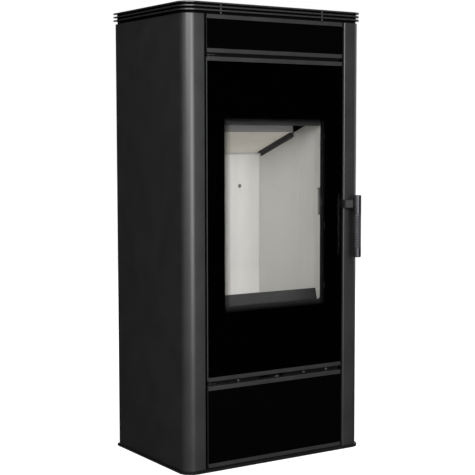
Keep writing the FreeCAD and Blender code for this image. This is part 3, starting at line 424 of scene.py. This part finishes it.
# pressed fireclay board: chalky and pale, its faint mottling drawn out along Z
liningFinish = {"dark": "#d5d4d1", "light": "#d9d8d5", "rough": (0.82, 0.94), "grainMm": 1.4, "mottleMm": 22,
                "drawn": (1, 1, 0.25), "reliefMm": 0.12, "shine": 0.2}
sideBoardFinish = {**liningFinish, "dark": "#cbcac6", "light": "#d0cfcb"}
# side boards at the back: whiter towards the rear
rearwardLightening = {"colour": "#dbdad6", "axis": "Y", "from": -0.055, "to": 0.127}
rearBoardFinish = {**sideBoardFinish, "stains": [rearwardLightening]}
# board with the keeper's recess: darker at its front edge, painted shade deep in the recess
frontEdgeDarkening = {"colour": "#f4f4f3", "axis": "Y", "from": -0.112, "to": -0.125, "blend": "MULTIPLY"}
keeperRecessShade = {"colour": "#2f2d2b", "axis": "X", "from": 0.1505, "to": 0.164}
keeperBoardFinish = {**sideBoardFinish, "stains": [frontEdgeDarkening, keeperRecessShade]}
# back board: painted light low down where the guard shades it, painted shade towards the right corner, a painted shadow
# along the joint under the baffle
lowPaintedLight = {"colour": "#f3f2ef", "axis": "Z", "from": 0.447, "to": 0.383}
cornerPaintedShade = {"colour": "#ececea", "axis": "X", "from": 0.088, "to": 0.128, "blend": "MULTIPLY"}
baffleJointShadow = {"colour": "#b0afac", "axis": "Z", "from": 0.7466, "to": 0.7474}
backBoardFinish = {**liningFinish, "stains": [lowPaintedLight, cornerPaintedShade, baffleJointShadow]}
# baffle: warmer, whiter towards the back, its face towards the door darkened as painted shade
baffleRearLightening = {"colour": "#e7e3da", "axis": "Y", "from": 0.040, "to": 0.100}
baffleFinish = {**liningFinish, "dark": "#dad6cc", "light": "#e2ded4", "scorch": "#8d8b89",
                "stains": [baffleRearLightening]}


def fireclayBoard(name, finish):
    material, tree = newMaterial(name)
    place = addNode(tree, "TexCoord").outputs["Object"]
    drawn = addNode(tree, "Mapping", {"Vector": place, "Scale": finish["drawn"]})
    fine = addNode(tree, "TexNoise", {"Vector": place, "Scale": 1000 / finish["grainMm"], "Detail": 5.0})
    mottle = addNode(tree, "TexNoise", {"Vector": drawn, "Scale": 1000 / finish["mottleMm"], "Detail": 5.0})
    patches = addNode(tree, "MapRange", {"Value": mottle, **noiseSpread})
    colour = addNode(tree, "Mix", {0: patches, 6: linear(finish["dark"]), 7: linear(finish["light"])},
                     data_type="RGBA").outputs[2]
    if "scorch" in finish:        # painted shade: the edge that faces the door is darkened
        colour = addNode(tree, "Mix", {0: facing(tree, "Y", -1), 6: colour, 7: linear(finish["scorch"])},
                         data_type="RGBA").outputs[2]
    colour = addShadeAndTone(tree, place, colour, finish.get("stains", []))
    low, high = finish["rough"]
    rough = addNode(tree, "MapRange", {"Value": fine, **noiseSpread, "To Min": low, "To Max": high})
    relief = addNode(tree, "Bump", {"Height": fine, "Distance": finish["reliefMm"] / 1000, "Strength": 0.5})
    shader = addNode(tree, "BsdfPrincipled", {
        "Base Color": colour,
        "Roughness": rough,
        "Specular IOR Level": finish["shine"],
        "Normal": relief})
    addNode(tree, "OutputMaterial", {"Surface": shader})
    return material


# braided glass fibre: off-white and dull, its threads drawn thicker than real to show
ropeFinish = {"dark": "#b9b5aa", "light": "#d2cec3", "rough": 0.85, "sheen": 0.25, "threadMm": 0.7,
              "reliefMm": 0.15}


def glassYarn(name, finish):
    material, tree = newMaterial(name)
    place = addNode(tree, "TexCoord").outputs["Object"]
    threads = addNode(tree, "TexNoise", {"Vector": place, "Scale": 1000 / finish["threadMm"], "Detail": 3.0})
    patches = addNode(tree, "MapRange", {"Value": threads, **noiseSpread})
    colour = addNode(tree, "Mix", {0: patches, 6: linear(finish["dark"]), 7: linear(finish["light"])},
                     data_type="RGBA").outputs[2]
    relief = addNode(tree, "Bump", {"Height": threads, "Distance": finish["reliefMm"] / 1000,
                                    "Strength": 0.6})
    shader = addNode(tree, "BsdfPrincipled", {
        "Base Color": colour,
        "Roughness": finish["rough"],
        "Sheen Weight": finish["sheen"],
        "Normal": relief})
    addNode(tree, "OutputMaterial", {"Surface": shader})
    return material


finishes = {        # by the record's slots
    "casing_paint": sprayedPaint("anthraciteStovePaint", casingFinish),
    "trim_paint": sprayedPaint("anthraciteTrimPaint", casingFinish),
    "black_paint": sprayedPaint("mattBlackStovePaint", blackFinish),
    "inner_steel": sprayedPaint("darkHeatproofPaint", innerFinish),
    "black_glass": blackGlassPane("blackPrintedGlass", blackGlassFinish),
    "clear_glass": clearPane("clearGlassCeramic", clearGlassFinish),
    "black_enamel": blackGlassPane("blackGlassEnamel", blackGlassFinish),
    "refractory": fireclayBoard("paleFireclayBoard", liningFinish),
    "cast_iron": roughCasting("rawCastIron", ironFinish),
    "zinc_steel": bareMetal("zincPlatedSteel", zincFinish),
    "sheet_steel": bareMetal("mildSheetSteel", sheetFinish),
    "handle_metal": bareMetal("gunmetalBar", gunmetalFinish),
    "glass_rope": glassYarn("glassFibreYarn", ropeFinish),
    "magnet_black": sprayedPaint("blackMagnetHousing", magnetFinish),
}
ownFinishes = {        # pieces that look unlike the rest of their slot
    heatGreyedPaint("heatGreyedBlack", sealHeat): ("front_frame", "door_frame"),
    sprayedPaint("recessBlackPaint", recessShadeFinish): ("top_deck", "top_spacer_lower", "top_spacer_upper",
                                                     "lower_door_frame", "upper_panel_frame"),
    sprayedPaint("topPlatePaint", plateFinish): ("top_plate_lower", "top_plate_middle", "top_plate_upper"),
    bareMetal("blackenedSteel", blackenedFinish): ("hinge_pins", "hinge_washers", "hinge_brackets"),
    fireclayBoard("scorchedBaffleBoard", baffleFinish): ("baffle_board",),
    fireclayBoard("sideFireclayBoard", sideBoardFinish): ("liner_left_front",),
    fireclayBoard("rearFireclayBoard", rearBoardFinish): ("liner_left_rear", "liner_right_rear"),
    fireclayBoard("sootedFireclayBoard", keeperBoardFinish): ("liner_right_front",),
    fireclayBoard("bleachedFireclayBoard", backBoardFinish): ("liner_back",),
    sprayedPaint("sootedGuardPaint", guardFinish): ("log_guard",),
    finishes["casing_paint"]: ("top_standoffs",),
    sprayedPaint("handleArmPaint", armFinish): ("handle_arm",),
    sprayedPaint("basePlatePaint", baseFinish): ("base_plate",),
}
finishOf = {node: finishes[slot] for node, slot in slotOf.items()}
for finish, nodes in ownFinishes.items():
    finishOf.update({node: finish for node in nodes})
for node, obj in frame["nodes"].items():
    for materialSlot in obj.material_slots:
        materialSlot.material = finishOf[node]
print("materials on", len(frame["nodes"]), "nodes")


def finishPiece(piece, name, node, material=None, addsTo=False):
    piece.name = name
    piece.data.name = name
    piece.data.materials.clear()
    piece.data.materials.append(material or finishOf[node])
    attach(piece, bodyOf[node])
    if not addsTo:
        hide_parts(node)


# printed border behind the door glass: black ink without a gleam, fading out towards the window
borderPrint = {"centre": 0.0017, "halfWidth": 0.1481, "low": 0.3760, "high": 0.8365, "fade": 0.0175,
               "edgeCover": 0.76, "corner": 0.004, "ink": "#010101", "rough": (0.45, 0.55), "smearMm": 60}


def fadingPrint(name):
    material, tree = newMaterial(name)
    place = addNode(tree, "TexCoord").outputs["Object"]
    halfHeight = (borderPrint["high"] - borderPrint["low"]) / 2
    middle = (borderPrint["high"] + borderPrint["low"]) / 2
    sides = (("X", borderPrint["centre"], borderPrint["halfWidth"]), ("Z", middle, halfHeight))
    axes = addNode(tree, "SeparateXYZ", {0: place})
    edges = []
    for axis, centre, half in sides:
        offset = addNode(tree, "Math", {0: axes.outputs[axis], 1: centre}, operation="SUBTRACT")
        away = addNode(tree, "Math", {0: offset}, operation="ABSOLUTE")
        edges.append(addNode(tree, "Math", {0: away, 1: half}, operation="SUBTRACT"))
    beyond = addNode(tree, "Math", {0: edges[0], 1: edges[1], 2: borderPrint["corner"]},
                     operation="SMOOTH_MAX")
    fading = addNode(tree, "MapRange", {"Value": beyond, "From Min": -borderPrint["fade"], "From Max": 0.0,
                                        "To Max": borderPrint["edgeCover"]})
    solid = addNode(tree, "Math", {0: beyond, 1: 0.0}, operation="GREATER_THAN")
    cover = addNode(tree, "Math", {0: fading, 1: solid}, operation="MAXIMUM")
    clear = addNode(tree, "BsdfTransparent", {"Color": (1, 1, 1, 1)})
    smear = addNode(tree, "TexNoise", {"Vector": place, "Scale": 1000 / borderPrint["smearMm"],
                                       "Detail": 2.0})
    low, high = borderPrint["rough"]
    rough = addNode(tree, "MapRange", {"Value": smear, **noiseSpread, "To Min": low, "To Max": high})
    ink = addNode(tree, "BsdfPrincipled", {
        "Base Color": linear(borderPrint["ink"]),
        "Roughness": rough,
        "Specular IOR Level": 0.0})
    mix = addNode(tree, "MixShader", {0: cover, 1: clear, 2: ink})
    addNode(tree, "OutputMaterial", {"Surface": mix})
    return material


def buildBorderPrint():
    low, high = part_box("door_enamel_border")
    deselectAll()
    middle = (low + high) / 2
    bpy.ops.mesh.primitive_plane_add(size=1, location=middle, rotation=(math.radians(90), 0, 0))
    sheet = bpy.context.object
    sheet.scale = (high.x - low.x, high.z - low.z, 1)
    bpy.ops.object.transform_apply(location=True, rotation=True, scale=True)
    inner = borderPrint["fade"] + borderPrint["corner"] / 2        # the print has faded out here
    left = borderPrint["centre"] - borderPrint["halfWidth"] + inner
    right = borderPrint["centre"] + borderPrint["halfWidth"] - inner
    bottom, top = borderPrint["low"] + inner, borderPrint["high"] - inner
    cuts = [((left, 0, 0), (1, 0, 0)), ((right, 0, 0), (1, 0, 0)),
            ((0, 0, bottom), (0, 0, 1)), ((0, 0, top), (0, 0, 1))]
    bpy.ops.object.mode_set(mode="EDIT")
    for point, normal in cuts:
        bpy.ops.mesh.select_all(action="SELECT")
        bpy.ops.mesh.bisect(plane_co=point, plane_no=normal)
    bpy.ops.mesh.select_mode(type="FACE")
    mesh = bmesh.from_edit_mesh(sheet.data)
    for face in mesh.faces:
        at = face.calc_center_median()
        face.select_set(left < at.x < right and bottom < at.z < top)
    bmesh.update_edit_mesh(sheet.data)
    bpy.ops.mesh.delete(type="FACE")
    bpy.ops.object.mode_set(mode="OBJECT")
    finishPiece(sheet, "borderPrint", "door_enamel_border", fadingPrint("fadingBlackPrint"))


buildBorderPrint()
print("border print laid")


# knurled handle bar, drawn up ring by ring from its lower end
handleBar = {"sides": 48, "edge": 0.0015, "gripLow": 0.5155, "gripHigh": 0.5995, "rings": 12,
             "groove": 0.0009, "flank": 0.0009, "point": 0.0003, "smoothAngle": 20}


def buildHandleBar():
    low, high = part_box("handle_bar")
    x, y = (low.x + high.x) / 2, (low.y + high.y) / 2
    radius = (high.x - low.x) / 2
    edge = handleBar["edge"]
    gripLow, gripHigh = handleBar["gripLow"], handleBar["gripHigh"]
    pitch = (gripHigh - gripLow) / handleBar["rings"]
    root, crest = radius - handleBar["groove"], radius - handleBar["point"]
    levels = [(low.z, radius - edge), (low.z + edge, radius), (gripLow, radius), (gripLow, root)]
    bands = []
    for ring in range(handleBar["rings"]):
        start = gripLow + ring * pitch
        bands.append((start + handleBar["flank"], start + pitch - handleBar["flank"]))
        levels += [(bands[-1][0], crest), (bands[-1][1], crest), (start + pitch, root)]
    levels += [(gripHigh, radius), (high.z - edge, radius), (high.z, radius - edge)]

    deselectAll()
    bpy.ops.mesh.primitive_circle_add(vertices=handleBar["sides"], radius=levels[0][1], fill_type="NGON",
                                      location=(x, y, low.z))
    bar = bpy.context.object
    bpy.ops.object.transform_apply(location=True, rotation=True, scale=True)
    bpy.ops.object.mode_set(mode="EDIT")
    bpy.ops.mesh.select_mode(type="FACE")
    bpy.ops.mesh.select_all(action="SELECT")
    for (z0, r0), (z1, r1) in zip(levels, levels[1:]):
        bpy.ops.mesh.extrude_region_move(TRANSFORM_OT_translate={"value": (0, 0, z1 - z0)})
        bpy.ops.transform.resize(value=(r1 / r0, r1 / r0, 1), center_override=(x, y, z1))
    mesh = bmesh.from_edit_mesh(bar.data)
    for face in mesh.faces:
        at = face.calc_center_median()
        face.select_set(len(face.verts) == 4 and any(z0 < at.z < z1 for z0, z1 in bands))
    bmesh.update_edit_mesh(bar.data)
    bpy.ops.mesh.poke(offset=handleBar["point"])        # a low pyramid on each crest
    bpy.ops.mesh.select_all(action="SELECT")
    bpy.ops.mesh.normals_make_consistent(inside=False)
    bpy.ops.object.mode_set(mode="OBJECT")
    bpy.ops.object.shade_smooth_by_angle(angle=math.radians(handleBar["smoothAngle"]))
    finishPiece(bar, "knurledBar", "handle_bar")


buildHandleBar()
print("handle bar turned")


def placeCopies(pattern, spots):        # spots: place and turn of each copy
    copies = []
    for place, turn in spots:
        copy = bpy.data.objects.new(pattern.name, pattern.data.copy())
        copy.location = place
        copy.rotation_euler = turn
        scene.collection.objects.link(copy)
        copies.append(copy)
    bpy.data.objects.remove(pattern)
    deselectAll()
    for copy in copies:
        copy.select_set(True)
    bpy.context.view_layer.objects.active = copies[0]
    bpy.ops.object.join()
    bpy.ops.object.transform_apply(location=True, rotation=True, scale=True)
    return bpy.context.object


# screw heads with a six-lobed drive; each step of the dome rises by a share of the height and narrows
frameScrew = {"radius": 0.0035, "height": 0.0020, "drive": 0.50, "depth": 0.0010,
              "x": (-0.168, -0.098, 0.098, 0.168)}
coverScrew = {"radius": 0.0042, "height": 0.0022, "drive": 0.48, "depth": 0.0011, "x": 0.2455,
              "z": (0.040, 0.300, 0.560, 0.820, 1.045)}
screwHead = {"sides": 24, "dome": [(0.45, 1.0), (0.35, 0.90), (0.20, 0.82)], "lobes": 6, "waist": 0.78,
             "waistBelow": -0.1, "capAbove": 0.9, "smoothAngle": 35}


def buildScrewHead(screw):
    height, lobes, waist = screw["height"], screwHead["lobes"], screwHead["waist"]
    deselectAll()
    bpy.ops.mesh.primitive_circle_add(vertices=screwHead["sides"], radius=screw["radius"], fill_type="NGON")
    head = bpy.context.object
    bpy.ops.object.mode_set(mode="EDIT")
    bpy.ops.mesh.select_mode(type="FACE")
    bpy.ops.mesh.select_all(action="SELECT")
    for rise, shrink in screwHead["dome"] + [(0.0, screw["drive"])]:        # the last step rings the drive
        bpy.ops.mesh.extrude_region_move(TRANSFORM_OT_translate={"value": (0, 0, rise * height)})
        bpy.ops.transform.resize(value=(shrink, shrink, 1), center_override=(0, 0, height))
    mesh = bmesh.from_edit_mesh(head.data)
    cap = next(face for face in mesh.faces if face.select)
    waists = [vert for vert in cap.verts
              if math.cos(lobes * math.atan2(vert.co.y, vert.co.x)) < screwHead["waistBelow"]]
    for vert in mesh.verts:
        vert.select_set(vert in waists)
    bmesh.update_edit_mesh(head.data)
    bpy.ops.mesh.select_mode(type="VERT")
    bpy.ops.transform.resize(value=(waist, waist, 1), center_override=(0, 0, height))
    bpy.ops.mesh.select_mode(type="FACE")
    mesh = bmesh.from_edit_mesh(head.data)
    for face in mesh.faces:
        face.select_set(len(face.verts) > 4 and face.calc_center_median().z > height * screwHead["capAbove"])
    bmesh.update_edit_mesh(head.data)
    bpy.ops.mesh.extrude_region_move(TRANSFORM_OT_translate={"value": (0, 0, -screw["depth"])})
    bpy.ops.mesh.select_all(action="SELECT")
    bpy.ops.mesh.normals_make_consistent(inside=False)
    bpy.ops.object.mode_set(mode="OBJECT")
    bpy.ops.object.shade_smooth_by_angle(angle=math.radians(screwHead["smoothAngle"]))
    return head


def buildFrameScrews():
    low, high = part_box("frame_screws")
    head = buildScrewHead(frameScrew)
    spots = [((x, high.y, (low.z + high.z) / 2), (math.radians(90), 0, 0)) for x in frameScrew["x"]]
    finishPiece(placeCopies(head, spots), "frameScrewHeads", "frame_screws")


def buildCoverScrews():
    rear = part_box("side_panel_left")[1].y
    head = buildScrewHead(coverScrew)
    spots = [((side * coverScrew["x"], rear, z), (math.radians(-90), 0, 0))
             for side in (-1, 1) for z in coverScrew["z"]]
    heads = placeCopies(head, spots)
    finishPiece(heads, "coverScrewHeads", "rear_cover", finishes["zinc_steel"], addsTo=True)


buildFrameScrews()
buildCoverScrews()
print("screw heads set")


# a solid's mesh comes as loose triangles, so a copy is merged and its flat faces made whole
meshMerge = {"distance": 0.00002, "flatAngle": 0.5}


def mergedCopy(node):
    deselectAll()
    piece = bpy.data.objects.new(node, frame["nodes"][node].data.copy())
    scene.collection.objects.link(piece)
    bpy.context.view_layer.objects.active = piece
    piece.select_set(True)
    bpy.ops.mesh.customdata_custom_splitnormals_clear()
    bpy.ops.object.mode_set(mode="EDIT")
    bpy.ops.mesh.select_all(action="SELECT")
    bpy.ops.mesh.remove_doubles(threshold=meshMerge["distance"])
    bpy.ops.mesh.dissolve_limited(angle_limit=math.radians(meshMerge["flatAngle"]))
    bpy.ops.object.mode_set(mode="OBJECT")
    return piece


# rope seal: a core with two rows of slanting stitches
ropeSeal = {"inset": 0.004, "corner": 0.018, "pitch": 0.0040, "stitch": (0.0066, 0.0026, 0.0030), "slant": 32,
            "apart": 0.0019, "bevel": 0.0008, "tuck": 0.0007, "sunk": 0.0001}


def ropeSpots():        # two stitches at each step round the door frame
    low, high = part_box("door_rope_seal")
    y = high.y - ropeSeal["stitch"][1] / 2 - ropeSeal["sunk"]
    corner = ropeSeal["corner"]
    left, right = low.x + ropeSeal["inset"], high.x - ropeSeal["inset"]
    bottom, top = low.z + ropeSeal["inset"], high.z - ropeSeal["inset"]
    quarter = corner * math.pi / 2
    wide, tall = right - left - 2 * corner, top - bottom - 2 * corner
    runs = [((left + corner, bottom), 0, wide), ((right, bottom + corner), 90, tall),
            ((right - corner, top), 180, wide), ((left, top - corner), 270, tall)]
    bends = [(right - corner, bottom + corner), (right - corner, top - corner),
             (left + corner, top - corner), (left + corner, bottom + corner)]
    total = 2 * (wide + tall) + 4 * quarter
    count = round(total / ropeSeal["pitch"])
    spots = []
    for step in range(count):
        along = step * total / count
        for ((x, z), heading, length), (bendX, bendZ) in zip(runs, bends):
            if along < length:
                turn = math.radians(heading)
                x, z = x + along * math.cos(turn), z + along * math.sin(turn)
                break
            along -= length
            if along < quarter:
                turn = math.radians(heading) + along / corner
                x, z = bendX + corner * math.sin(turn), bendZ - corner * math.cos(turn)
                break
            along -= quarter
        for side in (-1, 1):
            shift = side * ropeSeal["apart"]
            place = (x - shift * math.sin(turn), y, z + shift * math.cos(turn))
            spots.append((place, (0, -turn - side * math.radians(ropeSeal["slant"]), 0)))
    return spots


def buildRopeSeal():
    deselectAll()
    bpy.ops.mesh.primitive_cube_add(size=1)
    stitch = bpy.context.object
    stitch.scale = ropeSeal["stitch"]
    bpy.ops.object.transform_apply(location=True, rotation=True, scale=True)
    bpy.ops.object.mode_set(mode="EDIT")
    bpy.ops.mesh.select_all(action="SELECT")
    bpy.ops.mesh.bevel(offset=ropeSeal["bevel"], segments=1, affect="EDGES")
    bpy.ops.object.mode_set(mode="OBJECT")
    bpy.ops.object.shade_smooth()
    braid = placeCopies(stitch, ropeSpots())

    core = mergedCopy("door_rope_seal")
    tuck = core.modifiers.new("tuckIn", "DISPLACE")
    tuck.strength = -ropeSeal["tuck"]
    tuck.mid_level = 0
    bpy.ops.object.modifier_apply(modifier=tuck.name)
    braid.select_set(True)
    bpy.ops.object.join()
    finishPiece(core, "braidedRope", "door_rope_seal")


buildRopeSeal()
print("rope seal braided")


# sharp edges are broken, by a width in millimetres
brokenEdges = {
    0.3: ("door_trim_top", "door_trim_bottom", "upper_panel_trims", "lower_door_trims", "latch_keeper",
          "latch_hook"),
    0.4: ("side_panel_left", "side_panel_right", "log_guard", "airwash_lintel", "baffle_rails",
          "hearth_plate"),
    0.5: ("base_plate", "top_plate_lower", "top_plate_middle", "handle_arm", "ash_pan"),
    1.0: ("liner_floor", "liner_back", "liner_left_front", "liner_left_rear", "liner_right_front",
          "liner_right_rear", "baffle_board", "grate"),
}
edgeBreak = {"segments": 2, "sharpAngle": 40}


def breakEdges(node, mm):
    piece = mergedCopy(node)
    sharpAngle = math.radians(edgeBreak["sharpAngle"])
    bpy.ops.object.shade_smooth_by_angle(angle=sharpAngle)
    bevel = piece.modifiers.new("brokenEdge", "BEVEL")
    bevel.width = mm / 1000
    bevel.segments = edgeBreak["segments"]
    bevel.limit_method = "ANGLE"
    bevel.angle_limit = sharpAngle
    bevel.harden_normals = True
    bpy.ops.object.modifier_apply(modifier=bevel.name)
    words = node.split("_")
    finishPiece(piece, words[0] + "".join(word.capitalize() for word in words[1:]), node)


for mm, nodes in brokenEdges.items():
    for node in nodes:
        breakEdges(node, mm)
print("edges broken on", sum(len(nodes) for nodes in brokenEdges.values()), "pieces")
